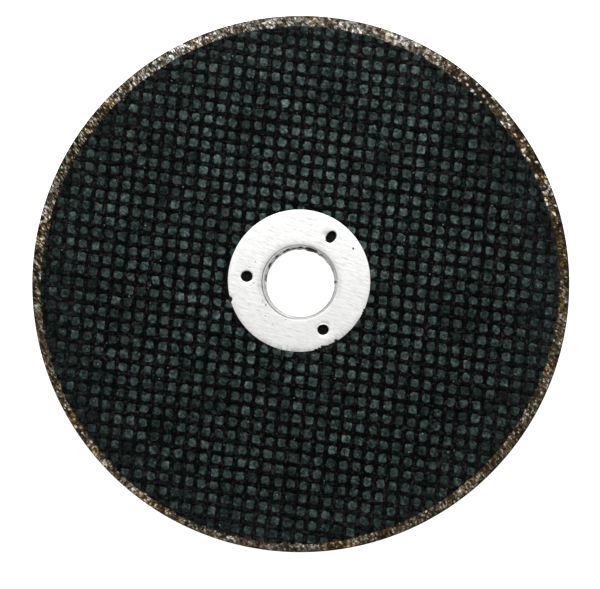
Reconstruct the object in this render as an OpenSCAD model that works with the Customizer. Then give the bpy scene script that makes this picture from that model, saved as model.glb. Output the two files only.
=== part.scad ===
// Cut-off wheel: a moulded abrasive disc, an open reinforcing net on its
// front face, and a stamped centre ring whose collar lines the bore.
// The wheel lies on its back. Z is the wheel's axis, and Z = 0 is the back face.

/* [Wheel] */
// Outside diameter of the wheel
wheel_d = 178; // [120:1:230]
// Thickness from the back face to the top of the net
wheel_t = 3; // [2.6:0.1:5]
// Radial width of the dressed bevel on the front of the rim
rim_bevel_w = 3.4; // [2:0.1:4.5]
// Drop of the front bevel at the outside diameter
rim_bevel_h = 0.6; // [0.3:0.05:0.9]
// Radial width of the bevel on the back of the rim
back_bevel_w = 1.8; // [0.6:0.1:4]
// Rise of the back bevel at the outside diameter
back_bevel_h = 0.5; // [0.2:0.05:0.7]

/* [Bore] */
// Diameter of the mounting bore, inside the collar
bore_d = 22.23; // [20:0.01:25.4]

/* [Reinforcing net] */
// Width of bare abrasive left round the net
bare_rim_w = 3.05; // [2.2:0.05:5]
// Thickness of the net
net_t = 0.4; // [0.25:0.05:0.5]
// Spacing of the threads that run up the face
pitch_u = 4.2; // [3.6:0.05:6]
// Spacing of the threads that run across the face
pitch_v = 4.28; // [3.6:0.02:6]
// Direction of the threads that run up the face, in degrees from X
angle_u = 85; // [80:0.5:95]
// Direction of the threads that run across the face, in degrees from X
angle_v = -8.3; // [-12:0.1:5]
// Width of a thread
thread_w = 1.5; // [0.8:0.1:2]
// Place of one opening's centre, X and Y
net_phase = [-1.7, -1.75]; // [-4:0.05:4]
// Shift of the net from the wheel's axis, X and Y
net_shift = [-0.5, -0.5]; // [-0.7:0.1:0.7]

/* [Centre ring] */
// Outside diameter of the ring's flange
ring_d = 47.3; // [44:0.1:52]
// Thickness of the ring's sheet metal
ring_t = 0.5; // [0.4:0.05:0.6]
// Shift of the flange's outline from the bore, X and Y
flange_shift = [-0.4, 0.6]; // [-0.8:0.1:0.8]
// Depth of the shallow dish round the bore
dish_h = 0.1; // [0.05:0.05:0.15]
// Height of the collar's lower end above the back face
collar_z = 0.5; // [0.4:0.05:0.7]
// Diameter of each pierced hole
hole_d = 3.7; // [2.6:0.1:4.4]
// Diameter of the circle that the pierced holes lie on
hole_circle_d = 35.6; // [34:0.1:37]
// Shift of that circle from the bore, X and Y
hole_shift = [0, 0.5]; // [-0.5:0.1:0.5]
// Direction of the first pierced hole, in degrees from X
hole_angle = 55; // [0:0.5:120]
// Depth of the burr under each pierced hole
burr_h = 0.7; // [0.3:0.05:0.9]

/* [Hidden] */
$fn = 96;

wheel_r = wheel_d / 2;
bore_r = bore_d / 2;
net_r = wheel_r - bare_rim_w;
ring_r = ring_d / 2;
seat_z = wheel_t - net_t;          // the net and the flange both lie on this plane
ring_top = seat_z + ring_t;        // front of the flange
land_z = wheel_t - 0.1;            // bare abrasive just outside the net
gap = 0.05;                        // room between the ring and the abrasive

// The collar's bend: the flange dips by dish_h between dish_r and lip_r, then
// turns down into the bore on one arc that stays tangent to that slope.
dish_r = bore_r + 3.3;
lip_r = bore_r + 1.3;
dip = atan(2 * dish_h / (dish_r - lip_r));
bend_r = (lip_r - bore_r) / (1 - sin(dip));
bend_cr = bore_r + bend_r;
bend_cz = ring_top - dish_h - bend_r * cos(dip);

function dish_line(z0, n) = [for (i = [0:n]) let (t = i / n) [dish_r - t * (dish_r - lip_r), z0 - dish_h * t * t]];
function bend_line(rad, n) = [for (i = [0:n]) let (a = dip + (90 - dip) * i / n) [bend_cr - rad * sin(a), bend_cz + rad * cos(a)]];
function reversed(list) = [for (i = [len(list) - 1:-1:0]) list[i]];

// The front bevel is slightly rounded: it starts flat and steepens outwards.
function bevel_line(n) = [for (i = [0:n]) let (t = i / n) [wheel_r - rim_bevel_w * (1 - t), land_z - rim_bevel_h * pow(t, 1.6)]];

// The net's threads: two flat sets that cross, one laid on the other
skew = sin(angle_u - angle_v);
along_v = [cos(angle_v), sin(angle_v)];
along_u = [cos(angle_u), sin(angle_u)];
step_i = along_v * (pitch_u / skew);   // from one thread up the face to the next
step_j = along_u * (pitch_v / skew);   // from one thread across the face to the next
layer_t = net_t / 2 - 0.01;            // the two sets lie a hair apart
reach = ceil(wheel_r / min(pitch_u, pitch_v)) + 2;

// Parallel threads in one direction, each half-way between two rows of openings
module threads(angle, step) {
    for (k = [-reach:reach])
        let (p = net_phase + (k + 0.5) * step, off = p - net_shift)
        // A thread that would only clip the net's edge is left out
        if (abs(off[0] * sin(angle) - off[1] * cos(angle)) < net_r - thread_w)
            translate([p[0], p[1], 0])
                rotate([0, 0, angle])
                    translate([-wheel_d, -thread_w / 2, 0])
                        cube([2 * wheel_d, thread_w, layer_t]);
}

// A set of threads cut to the net's round outline and round the ring
module thread_layer(angle, step) {
    difference() {
        intersection() {
            translate([net_shift[0], net_shift[1], 0])
                cylinder(r = net_r, h = layer_t);
            threads(angle, step);
        }
        translate([flange_shift[0], flange_shift[1], -1])
            cylinder(r = ring_r + 2 * gap, h = net_t + 2);
    }
}

module ring_holes(r, z0, z1) {
    for (k = [0:2])
        translate([hole_shift[0], hole_shift[1], z0])
            rotate([0, 0, hole_angle + 120 * k])
                translate([hole_circle_d / 2, 0, 0])
                    cylinder(r = r, h = z1 - z0);
}

module abrasive_disc() {
    color("#5a4a40")
    difference() {
        rotate_extrude()
            polygon(concat(
                [[bore_r + 0.08, 0], [wheel_r - back_bevel_w, 0], [wheel_r, back_bevel_h]],
                reversed(bevel_line(6)),
                [[dish_r + 0.2, land_z], [dish_r + 0.2, seat_z], [lip_r, seat_z - dish_h - gap]],
                bend_line(bend_r - ring_t - gap, 8),
                [[bore_r + ring_t + gap, collar_z - gap], [bore_r + 0.08, collar_z - gap]]
            ));
        // Seat for the net and the flange
        translate([net_shift[0], net_shift[1], seat_z])
            cylinder(r = net_r + gap, h = wheel_t);
        // Pits that the burrs of the pierced holes made
        ring_holes(hole_d / 2 + 0.35 + gap, seat_z - burr_h - 0.2, seat_z + 1);
    }
}

module reinforcing_net() {
    color("#20241f") {
        translate([0, 0, seat_z]) thread_layer(angle_u, step_i);
        translate([0, 0, wheel_t - layer_t]) thread_layer(angle_v, step_j);
    }
}

module centre_ring() {
    color("#e4e4df")
    difference() {
        union() {
            // Flat flange
            difference() {
                translate([flange_shift[0], flange_shift[1], seat_z])
                    cylinder(r = ring_r, h = ring_t);
                translate([0, 0, seat_z - 1])
                    cylinder(r = dish_r, h = ring_t + 2);
            }
            // Dish, bend and collar
            rotate_extrude()
                polygon(concat(
                    [[dish_r + 0.2, seat_z], [dish_r + 0.2, ring_top]],
                    dish_line(ring_top, 4),
                    bend_line(bend_r, 10),
                    [[bore_r, collar_z], [bore_r + ring_t, collar_z]],
                    reversed(bend_line(bend_r - ring_t, 10)),
                    reversed(dish_line(seat_z, 4))
                ));
            // Burrs under the pierced holes
            ring_holes(hole_d / 2 + 0.35, seat_z - burr_h, seat_z + 0.1);
        }
        ring_holes(hole_d / 2, -1, wheel_t + 2);
    }
}

abrasive_disc();
reinforcing_net();
centre_ring();
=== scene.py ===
"""Looks of the cut-off wheel: bonded abrasive with a woven net face, a bare grit rim and a brushed centre ring.
All lengths in this file are millimetres until a mesh is made, which is in metres."""

import math

import bpy
import numpy as np
from mathutils import Matrix, Vector, geometry


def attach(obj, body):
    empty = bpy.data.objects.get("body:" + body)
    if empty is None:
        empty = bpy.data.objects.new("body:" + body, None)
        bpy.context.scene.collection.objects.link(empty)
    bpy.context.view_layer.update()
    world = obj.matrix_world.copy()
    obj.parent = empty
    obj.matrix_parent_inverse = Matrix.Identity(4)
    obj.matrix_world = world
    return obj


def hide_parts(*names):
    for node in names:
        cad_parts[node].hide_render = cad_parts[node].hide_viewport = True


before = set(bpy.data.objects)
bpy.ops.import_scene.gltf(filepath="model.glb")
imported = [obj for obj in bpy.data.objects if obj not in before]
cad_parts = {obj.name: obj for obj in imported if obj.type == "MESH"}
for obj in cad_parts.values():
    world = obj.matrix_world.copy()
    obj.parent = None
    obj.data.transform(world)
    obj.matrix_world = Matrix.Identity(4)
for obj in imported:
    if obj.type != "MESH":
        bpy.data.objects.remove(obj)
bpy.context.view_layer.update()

MM = 0.001
SEED = 41

# ------------------------------------------------------------------ sizes, as in the construction
WHEEL_R, WHEEL_T = 89.0, 3.0
SEAT_Z, LAND_Z, RING_TOP = 2.6, 2.9, 3.1
BEVEL_W, BEVEL_H = 3.4, 0.6
BACK_W, BACK_H = 1.8, 0.5
NET_R, NET_C = 85.95, np.array([-0.5, -0.5])
RING_R, RING_C = 23.65, np.array([-0.4, 0.6])
BORE_R, COLLAR_Z = 11.115, 0.5
RING_T, DISH_H = 0.5, 0.035
PITCH_U, PITCH_V, ANG_U, ANG_V = 4.2, 4.28, math.radians(85.0), math.radians(-8.3)
PHASE = np.array([-1.7, -1.75])
HOLE_PITCH_R, HOLE_A0, HOLE_C = 17.8, 55.0, np.array([0.0, 0.5])
LIP_C, LIP_R = np.array([-0.24, 0.06]), 12.46

SKEW = math.sin(ANG_U - ANG_V)
ALONG_U = np.array([math.cos(ANG_U), math.sin(ANG_U)])
ALONG_V = np.array([math.cos(ANG_V), math.sin(ANG_V)])
LEN_I, LEN_J = PITCH_U / SKEW, PITCH_V / SKEW
STEP_I, STEP_J = ALONG_V * LEN_I, ALONG_U * LEN_J


# ------------------------------------------------------------------ seeded noise
def hashed(ix, iy, seed):
    n = (ix.astype(np.int64) * 374761393 + iy.astype(np.int64) * 668265263 + int(seed) * 974711) & 0xFFFFFFFF
    n = ((n ^ (n >> 13)) * 1274126177) & 0xFFFFFFFF
    n = ((n ^ (n >> 15)) * 2246822519) & 0xFFFFFFFF
    n = n ^ (n >> 16)
    return (n & 0xFFFFFF) / float(0x1000000)


def vnoise(x, y, seed):
    """Smooth value noise from -1 to 1, one feature per unit."""
    x, y = np.asarray(x, float), np.asarray(y, float)
    ix, iy = np.floor(x), np.floor(y)
    fx, fy = x - ix, y - iy
    fx, fy = fx**3 * (fx * (fx * 6 - 15) + 10), fy**3 * (fy * (fy * 6 - 15) + 10)
    a, b = hashed(ix, iy, seed), hashed(ix + 1, iy, seed)
    c, d = hashed(ix, iy + 1, seed), hashed(ix + 1, iy + 1, seed)
    return ((a * (1 - fx) + b * fx) * (1 - fy) + (c * (1 - fx) + d * fx) * fy) * 2 - 1


def fbm(x, y, seed, octaves=3):
    total, amp, norm = 0.0, 1.0, 0.0
    for k in range(octaves):
        total = total + amp * vnoise(x * 2**k, y * 2**k, seed + 17 * k)
        norm += amp
        amp *= 0.5
    return total / norm


def worley(x, y, seed):
    """Distance to the nearest and second nearest seeded point, and the nearest one's own random number."""
    x, y = np.asarray(x, float), np.asarray(y, float)
    ix, iy = np.floor(x), np.floor(y)
    f1, f2, own = np.full(x.shape, 9.0), np.full(x.shape, 9.0), np.zeros(x.shape)
    for dx in (-1, 0, 1):
        for dy in (-1, 0, 1):
            cx, cy = ix + dx, iy + dy
            d = np.hypot(cx + hashed(cx, cy, seed) - x, cy + hashed(cx, cy, seed + 5) - y)
            near = d < f1
            f2 = np.where(near, f1, np.minimum(f2, d))
            own = np.where(near, hashed(cx, cy, seed + 11), own)
            f1 = np.where(near, d, f1)
    return f1, f2, own


def smooth(lo, hi, v):
    t = np.clip((v - lo) / (hi - lo), 0, 1)
    return t * t * (3 - 2 * t)


def wander(xy):
    """How far the net's threads stray from their straight lines at a point."""
    x, y = xy[..., 0], xy[..., 1]
    dx = 0.26 * fbm(x / 34 + 3.1, y / 34, SEED + 1, 2) + 0.13 * vnoise(x / 9.5, y / 9.5, SEED + 2)
    dy = 0.26 * fbm(x / 34, y / 34 + 7.7, SEED + 3, 2) + 0.13 * vnoise(x / 9.5, y / 9.5, SEED + 4)
    return np.stack([dx, dy], -1)


def toward(theta, deg, lo, hi):
    """0 to 1 for directions near one, in degrees from X, with the cosines at which it starts and is full."""
    return smooth(lo, hi, np.cos(theta - math.radians(deg)))


def lap(theta):
    """How far bare abrasive laps in over the net's cut edge in a direction, in millimetres."""
    more = 0.21 + 0.30 * toward(theta, 180, -0.2, 0.9) + 0.26 * toward(theta, 318, 0.3, 0.9) + 0.28 * toward(theta, 52, 0.70, 0.97)
    more = more + 0.36 * toward(theta, 143, 0.60, 0.95) + 0.28 * toward(theta, 308, 0.75, 0.97)
    return more - 0.75 * toward(theta, 2, 0.92, 0.998) - 0.35 * toward(theta, 254, 0.96, 0.998) - 0.20 * toward(theta, 225, 0.97, 0.998)


def net_limit(d):
    """Distance from the net's centre that its threads and pads keep inside, in the directions of the rows of d."""
    return NET_R - np.maximum(lap(np.arctan2(d[..., 1], d[..., 0])) - 0.30, 0)


def film_at(x, y):
    """How thickly resin lies over the net at a point: more towards its cut edge, less on the side towards +Y."""
    to_edge = NET_R - np.hypot(x - NET_C[0], y - NET_C[1])
    return smooth(20.0, 2.0, to_edge + 3.0 * fbm(x / 7, y / 7, SEED + 64, 2)) * (0.72 - 0.30 * smooth(-20, 60, y))


# ------------------------------------------------------------------ mesh helpers
def make_mesh(name, verts, faces, material, flat=None, attrs=None, uv=None):
    """verts in mm. flat is a mask of faces shaded flat, attrs are float values per vertex, uv is per vertex."""
    me = bpy.data.meshes.new(name)
    me.from_pydata((np.asarray(verts) * MM).tolist(), [], [list(map(int, f)) for f in faces])
    me.update()
    smooth_faces = np.ones(len(me.polygons), bool)
    if flat is not None:
        smooth_faces[np.asarray(flat, bool)] = False
    me.polygons.foreach_set("use_smooth", smooth_faces)
    for key, values in (attrs or {}).items():
        values = np.asarray(values, np.float32)
        if values.ndim == 2:
            a = me.attributes.new(key, "FLOAT_COLOR", "POINT")
            a.data.foreach_set("color", np.column_stack([values, np.ones(len(values), np.float32)]).ravel())
        else:
            a = me.attributes.new(key, "FLOAT", "POINT")
            a.data.foreach_set("value", values)
    if uv is not None:
        loops = np.zeros(len(me.loops), np.int64)
        me.loops.foreach_get("vertex_index", loops)
        layer = me.uv_layers.new(name="OFBake")
        layer.data.foreach_set("uv", np.asarray(uv, np.float32)[loops].ravel())
    me.materials.append(material)
    ob = bpy.data.objects.new(name, me)
    bpy.context.scene.collection.objects.link(ob)
    return ob


def seat(ob, slot, *nodes):
    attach(ob, "root")
    if nodes:
        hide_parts(*nodes)
    return ob


# ------------------------------------------------------------------ material helpers
class Tree:
    """Short names for building one material's nodes."""

    def __init__(self, name):
        self.mat = bpy.data.materials.new(name)
        self.mat.use_nodes = True
        self.nt = self.mat.node_tree
        self.bsdf = next(n for n in self.nt.nodes if n.type == "BSDF_PRINCIPLED")

    def put(self, socket, value):
        if isinstance(value, bpy.types.NodeSocket):
            self.nt.links.new(value, socket)
        else:
            socket.default_value = value

    def mm(self, scale=(1, 1, 1), turn=0.0, shift=(0, 0, 0)):
        """Object coordinates in millimetres, turned about Z and then scaled."""
        tc = self.nt.nodes.new("ShaderNodeTexCoord")
        r = self.nt.nodes.new("ShaderNodeMapping")
        self.put(r.inputs["Vector"], tc.outputs["Object"])
        r.inputs["Rotation"].default_value = (0, 0, turn)
        s = self.nt.nodes.new("ShaderNodeMapping")
        self.put(s.inputs["Vector"], r.outputs[0])
        s.inputs["Scale"].default_value = [1000 * k for k in scale]
        s.inputs["Location"].default_value = shift
        return s.outputs[0]

    def noise(self, vector, scale, detail=3.0, rough=0.55, distort=0.0):
        n = self.nt.nodes.new("ShaderNodeTexNoise")
        self.put(n.inputs["Vector"], vector)
        n.inputs["Scale"].default_value = scale
        n.inputs["Detail"].default_value = detail
        n.inputs["Roughness"].default_value = rough
        n.inputs["Distortion"].default_value = distort
        return n.outputs[0]

    def voronoi(self, vector, scale, feature="F1", jitter=1.0):
        n = self.nt.nodes.new("ShaderNodeTexVoronoi")
        n.feature = feature
        self.put(n.inputs["Vector"], vector)
        n.inputs["Scale"].default_value = scale
        n.inputs["Randomness"].default_value = jitter
        return n

    def math(self, op, a, b=None, c=None, clamp=False):
        n = self.nt.nodes.new("ShaderNodeMath")
        n.operation, n.use_clamp = op, clamp
        for k, v in enumerate((a, b, c)):
            if v is not None:
                self.put(n.inputs[k], v)
        return n.outputs[0]

    def band(self, value, lo, hi, to_lo=0.0, to_hi=1.0):
        n = self.nt.nodes.new("ShaderNodeMapRange")
        n.interpolation_type = "SMOOTHSTEP"
        self.put(n.inputs["Value"], value)
        n.inputs["From Min"].default_value, n.inputs["From Max"].default_value = lo, hi
        n.inputs["To Min"].default_value, n.inputs["To Max"].default_value = to_lo, to_hi
        return n.outputs[0]

    def ramp(self, value, *stops):
        n = self.nt.nodes.new("ShaderNodeValToRGB")
        self.put(n.inputs[0], value)
        e = n.color_ramp.elements
        while len(e) < len(stops):
            e.new(0.5)
        for k, (at, colour) in enumerate(stops):
            e[k].position = at
            e[k].color = (*colour, 1.0)
        return n.outputs[0]

    def mix(self, fac, a, b, how="MIX"):
        n = self.nt.nodes.new("ShaderNodeMix")
        n.data_type, n.blend_type = "RGBA", how
        self.put(n.inputs["Factor"], fac)
        for key, v in ((6, a), (7, b)):
            self.put(n.inputs[key], v if isinstance(v, bpy.types.NodeSocket) else (*v, 1.0))
        return n.outputs[2]

    def attr(self, name):
        n = self.nt.nodes.new("ShaderNodeAttribute")
        n.attribute_name = name
        return n.outputs["Fac"]

    def paint(self, name):
        n = self.nt.nodes.new("ShaderNodeAttribute")
        n.attribute_name = name
        return n.outputs["Color"]

    def scale(self, colour, by):
        n = self.nt.nodes.new("ShaderNodeVectorMath")
        n.operation = "SCALE"
        self.put(n.inputs[0], colour)
        self.put(n.inputs["Scale"], by)
        return n.outputs[0]

    def split(self, colour):
        n = self.nt.nodes.new("ShaderNodeSeparateColor")
        self.put(n.inputs[0], colour)
        return n.outputs

    def bump(self, height, strength, distance):
        n = self.nt.nodes.new("ShaderNodeBump")
        self.put(n.inputs["Height"], height)
        n.inputs["Strength"].default_value = strength
        n.inputs["Distance"].default_value = distance * MM
        self.put(self.bsdf.inputs["Normal"], n.outputs[0])

    def shader(self, **inputs):
        for key, value in inputs.items():
            self.put(self.bsdf.inputs[key.replace("_", " ")], value)
        return self.mat


# ------------------------------------------------------------------ materials
def ring_metal():
    t = Tree("brushed_ring_metal")
    # Fine brush marks run down to the right across the flange.
    fine = t.noise(t.mm((0.42, 3.0, 1), math.radians(23.0)), 1.0, 4.0, 0.70)
    long_ = t.noise(t.mm((0.12, 1.5, 1), math.radians(17.0), (5, 3, 0)), 1.0, 3.0, 0.6)
    cloud = t.noise(t.mm((0.09, 0.09, 0.09)), 1.0, 2.0, 0.5)
    marks = t.math("ADD", t.math("MULTIPLY", fine, 0.66), t.math("MULTIPLY", long_, 0.34))
    tone = t.ramp(marks, (0.38, (0.620, 0.620, 0.612)), (0.45, (0.750, 0.750, 0.742)), (0.53, (0.832, 0.832, 0.826)), (0.61, (0.940, 0.940, 0.935)))
    tone = t.mix(t.band(cloud, 0.42, 0.68, 0.0, 0.16), tone, (0.76, 0.755, 0.725))
    # Painted highlights beside the holes, where the metal is pushed up
    tone = t.mix(t.attr("painted_highlight"), tone, (0.97, 0.97, 0.97))
    # Painted shade in the pressed line round the bore, on the bend inside it, on the dish around it and down the holes'
    # mouths, with a real dull smear beside one hole and an edge darker towards -Y
    tone = t.mix(t.attr("stain_and_shade"), tone, (0.030, 0.032, 0.028))
    # Resin burnt on to the collar
    burnt = t.attr("burnt")
    film = t.noise(t.mm(), 1.3, 3.0, 0.6)
    tone = t.mix(burnt, tone, t.ramp(film, (0.42, (0.0022, 0.002, 0.002)), (0.56, (0.008, 0.0045, 0.0045)), (0.66, (0.045, 0.014, 0.0135))))
    t.bump(marks, 0.25, 0.010)
    rough = t.math("MULTIPLY_ADD", burnt, 0.40, t.band(marks, 0.3, 0.7, 0.60, 0.48))
    return t.shader(Base_Color=tone, Roughness=rough, Metallic=t.math("SUBTRACT", 1.0, burnt))


def thread_resin():
    t = Tree("resin_soaked_threads")
    xyz = t.mm()
    fibre = t.noise(xyz, 0.86, 3.0, 0.68)
    clump = t.noise(t.mm((1, 1, 1), 0.0, (7, 2, 9)), 1.15, 2.0, 0.62)
    tone = t.ramp(fibre, (0.43, (0.0, 0.0001, 0.0001)), (0.51, (0.0007, 0.0012, 0.0012)), (0.57, (0.0046, 0.0062, 0.0060)), (0.635, (0.0275, 0.0310, 0.0300)))
    tone = t.mix(t.attr("film"), tone, t.ramp(fibre, (0.40, (0.0010, 0.0018, 0.0018)), (0.50, (0.0058, 0.0076, 0.0075)), (0.60, (0.0245, 0.0265, 0.0258))))
    tone = t.mix(t.band(clump, 0.51, 0.62, 0.0, 0.60), tone, (0.0098, 0.0056, 0.0053))
    tone = t.mix(t.band(clump, 0.48, 0.38, 0.0, 0.60), tone, (0.0012, 0.0056, 0.0054))
    # A few bare grains show through the resin
    grains = t.voronoi(xyz, 1.1)
    pick = t.split(grains.outputs["Color"])
    dot = t.band(grains.outputs["Distance"], 0.36, 0.14)
    tone = t.mix(t.math("MULTIPLY", t.band(pick[0], 0.985, 0.990), dot), tone, (0.046, 0.024, 0.012))
    tone = t.mix(t.math("MULTIPLY", t.band(pick[1], 0.990, 0.994), dot), tone, (0.14, 0.142, 0.130))
    t.bump(fibre, 0.5, 0.05)
    return t.shader(Base_Color=tone, Roughness=0.62, Specular_IOR_Level=0.02)


def pad_grit():
    t = Tree("abrasive_in_the_openings")
    xyz = t.mm()
    own, edge = t.attr("pad_tone"), t.attr("pad_edge")
    grain = t.noise(xyz, 1.55, 1.5, 0.6)
    blotch = t.noise(t.mm((1, 1, 1), 0.0, (31, 12, 4)), 0.76, 1.5, 0.55, 0.4)
    hue = t.noise(t.mm((1, 1, 1), 0.0, (17, 5, 2)), 1.25, 2.0, 0.6)
    scuff = t.noise(t.mm((0.62, 2.5, 1), math.radians(46.0)), 1.0, 2.0, 0.6, 0.3)
    ragged = t.noise(t.mm((1, 1, 1), 0.0, (3, 44, 8)), 1.5, 3.0, 0.68)
    mixed = t.math("ADD", t.math("MULTIPLY", grain, 0.30), t.math("MULTIPLY", blotch, 0.70))
    base = t.ramp(mixed, (0.36, (0.0105, 0.0160, 0.0150)), (0.45, (0.0255, 0.0385, 0.0360)), (0.53, (0.0440, 0.0640, 0.0600)), (0.63, (0.083, 0.113, 0.106)))
    base = t.mix(1.0, base, t.ramp(hue, (0.38, (0.73, 1.05, 1.05)), (0.50, (0.97, 1.03, 1.045)), (0.62, (1.30, 0.99, 0.96))), "MULTIPLY")
    # Scuffs and hollows where dark resin stayed
    dark = t.math("MULTIPLY", t.band(scuff, 0.47, 0.60), t.attr("pad_scuff"))
    base = t.mix(dark, base, (0.0060, 0.0082, 0.0078))
    # Reddish resin film on some
    base = t.mix(t.math("MULTIPLY", t.attr("pad_red"), t.band(blotch, 0.42, 0.60)), base, (0.020, 0.0140, 0.0125))
    shade = t.scale(base, own)
    # The resin runs in over each one's border unevenly
    reach = t.math("ADD", edge, t.math("MULTIPLY_ADD", ragged, 1.2, -0.60))
    border = t.mix(t.attr("pad_film"), (0.0030, 0.0038, 0.0037), (0.0098, 0.0116, 0.0114))
    shade = t.mix(t.band(reach, 0.66, 1.02), shade, border)
    grains = t.voronoi(xyz, 1.0)
    pick = t.split(grains.outputs["Color"])
    dot = t.band(grains.outputs["Distance"], 0.36, 0.14)
    shade = t.mix(t.math("MULTIPLY", t.band(pick[0], 0.991, 0.995), dot), shade, (0.066, 0.037, 0.019))
    shade = t.mix(t.math("MULTIPLY", t.band(pick[1], 0.988, 0.992), dot), shade, (0.17, 0.175, 0.16))
    t.bump(mixed, 0.5, 0.06)
    return t.shader(Base_Color=shade, Roughness=0.62, Specular_IOR_Level=0.03)


def bonded_grit():
    t = Tree("bonded_brown_abrasive")
    xyz = t.mm()
    big = t.voronoi(xyz, 1.55)
    small = t.voronoi(t.mm((1, 1, 1), 0.0, (9, 4, 2)), 3.3)
    b, s = t.split(big.outputs["Color"]), t.split(small.outputs["Color"])
    fleck = t.noise(xyz, 4.2, 3.0, 0.7)
    # Broken grain at the rim: its colour is worked out with its relief
    stroke = t.noise(t.mm((0.75, 2.7, 1.2), math.radians(48.0)), 1.0, 2.0, 0.6)
    bare = t.scale(t.paint("grain_rgb"), t.math("MULTIPLY", t.band(fleck, 0.36, 0.64, 0.70, 1.30), t.math("MULTIPLY_ADD", t.attr("streaked"), t.band(stroke, 0.36, 0.64, -0.60, 0.75), 1.0)))
    # Dark resin skin on the pressed back
    press = t.ramp(fleck, (0.30, (0.0065, 0.0068, 0.0066)), (0.52, (0.017, 0.0175, 0.0165)), (0.74, (0.042, 0.040, 0.036)))
    press = t.mix(t.math("MULTIPLY", t.band(b[1], 0.93, 0.97), t.band(big.outputs["Distance"], 0.42, 0.2)), press, (0.11, 0.066, 0.036))
    press = t.mix(t.math("MULTIPLY", t.band(s[1], 0.975, 0.985), t.band(small.outputs["Distance"], 0.4, 0.2)), press, (0.36, 0.34, 0.30))
    colour = t.mix(t.attr("back"), bare, press)
    height = t.math("ADD", t.math("MULTIPLY", big.outputs["Distance"], 0.8), fleck)
    t.bump(height, 0.6, 0.12)
    rough = t.band(s[2], 0.2, 0.9, 0.75, 0.35)
    return t.shader(Base_Color=colour, Roughness=rough, Specular_IOR_Level=0.05)


def flash_resin():
    t = Tree("hardened_resin")
    xyz = t.mm()
    lump = t.noise(xyz, 1.6, 4.0, 0.6)
    tone = t.ramp(lump, (0.35, (0.003, 0.0028, 0.0026)), (0.55, (0.008, 0.0055, 0.0050)), (0.75, (0.034, 0.012, 0.011)))
    t.bump(lump, 0.5, 0.08)
    return t.shader(Base_Color=tone, Roughness=0.5, Specular_IOR_Level=0.12)


RING_MAT, THREAD_MAT, PAD_MAT, GRIT_MAT, FLASH_MAT = ring_metal(), thread_resin(), pad_grit(), bonded_grit(), flash_resin()


# ------------------------------------------------------------------ abrasive body
def hole_list():
    """Centre, half-lengths and long-axis direction of the ring's three pierced holes."""
    sizes = [(2.12, 1.50, math.radians(58)), (1.87, 1.80, 0.0), (1.80, 1.72, math.radians(8))]
    out = []
    for k, (a, b, turn) in enumerate(sizes):
        w = math.radians(HOLE_A0 + 120 * k)
        out.append((HOLE_C + np.array([math.cos(w), math.sin(w)]) * HOLE_PITCH_R, a, b, turn))
    return out


HOLES = hole_list()


def net_edge(theta):
    """Distance from the wheel's axis to the net's cut edge in a direction."""
    d = NET_C[0] * np.cos(theta) + NET_C[1] * np.sin(theta)
    return d + np.sqrt(np.maximum(NET_R**2 - (NET_C @ NET_C - d * d), 0))


def bevel_z(r):
    return LAND_Z - BEVEL_H * np.clip((r - (WHEEL_R - BEVEL_W)) / BEVEL_W, 0, 1) ** 1.6


def grit_relief(x, y, z):
    """Depth of the broken-grain surface below the dressed one, 0 to 1."""
    qx, qy = x + 1.1 * z, y - 0.93 * z
    f1, f2, own = worley(qx / 0.95, qy / 0.95, SEED + 21)
    g1, g2, mine = worley(qx / 0.48, qy / 0.48, SEED + 23)
    coarse = np.clip(f1 * 0.9, 0, 1) * 0.55 + own * 0.45
    fine = np.clip(g1 * 0.9, 0, 1) * 0.5 + mine * 0.5
    return 0.6 * coarse + 0.4 * fine


SKIN = np.array([0.0044, 0.0050, 0.0049])


def skin_colour(x, y):
    """Dark resin between the net's cut edge and the bare rim, mottled like the threads."""
    n = fbm(x / 1.0, y / 1.0, SEED + 37, 3)
    warm = smooth(0.0, 0.5, fbm(x / 1.6 + 8, y / 1.6, SEED + 38, 2))[:, None]
    c = np.array([0.0145, 0.0160, 0.0156]) * np.exp(1.4 * n)[:, None]
    return c * (1 - 0.6 * warm) + 0.6 * warm * np.array([0.0160, 0.0105, 0.0090])


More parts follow.
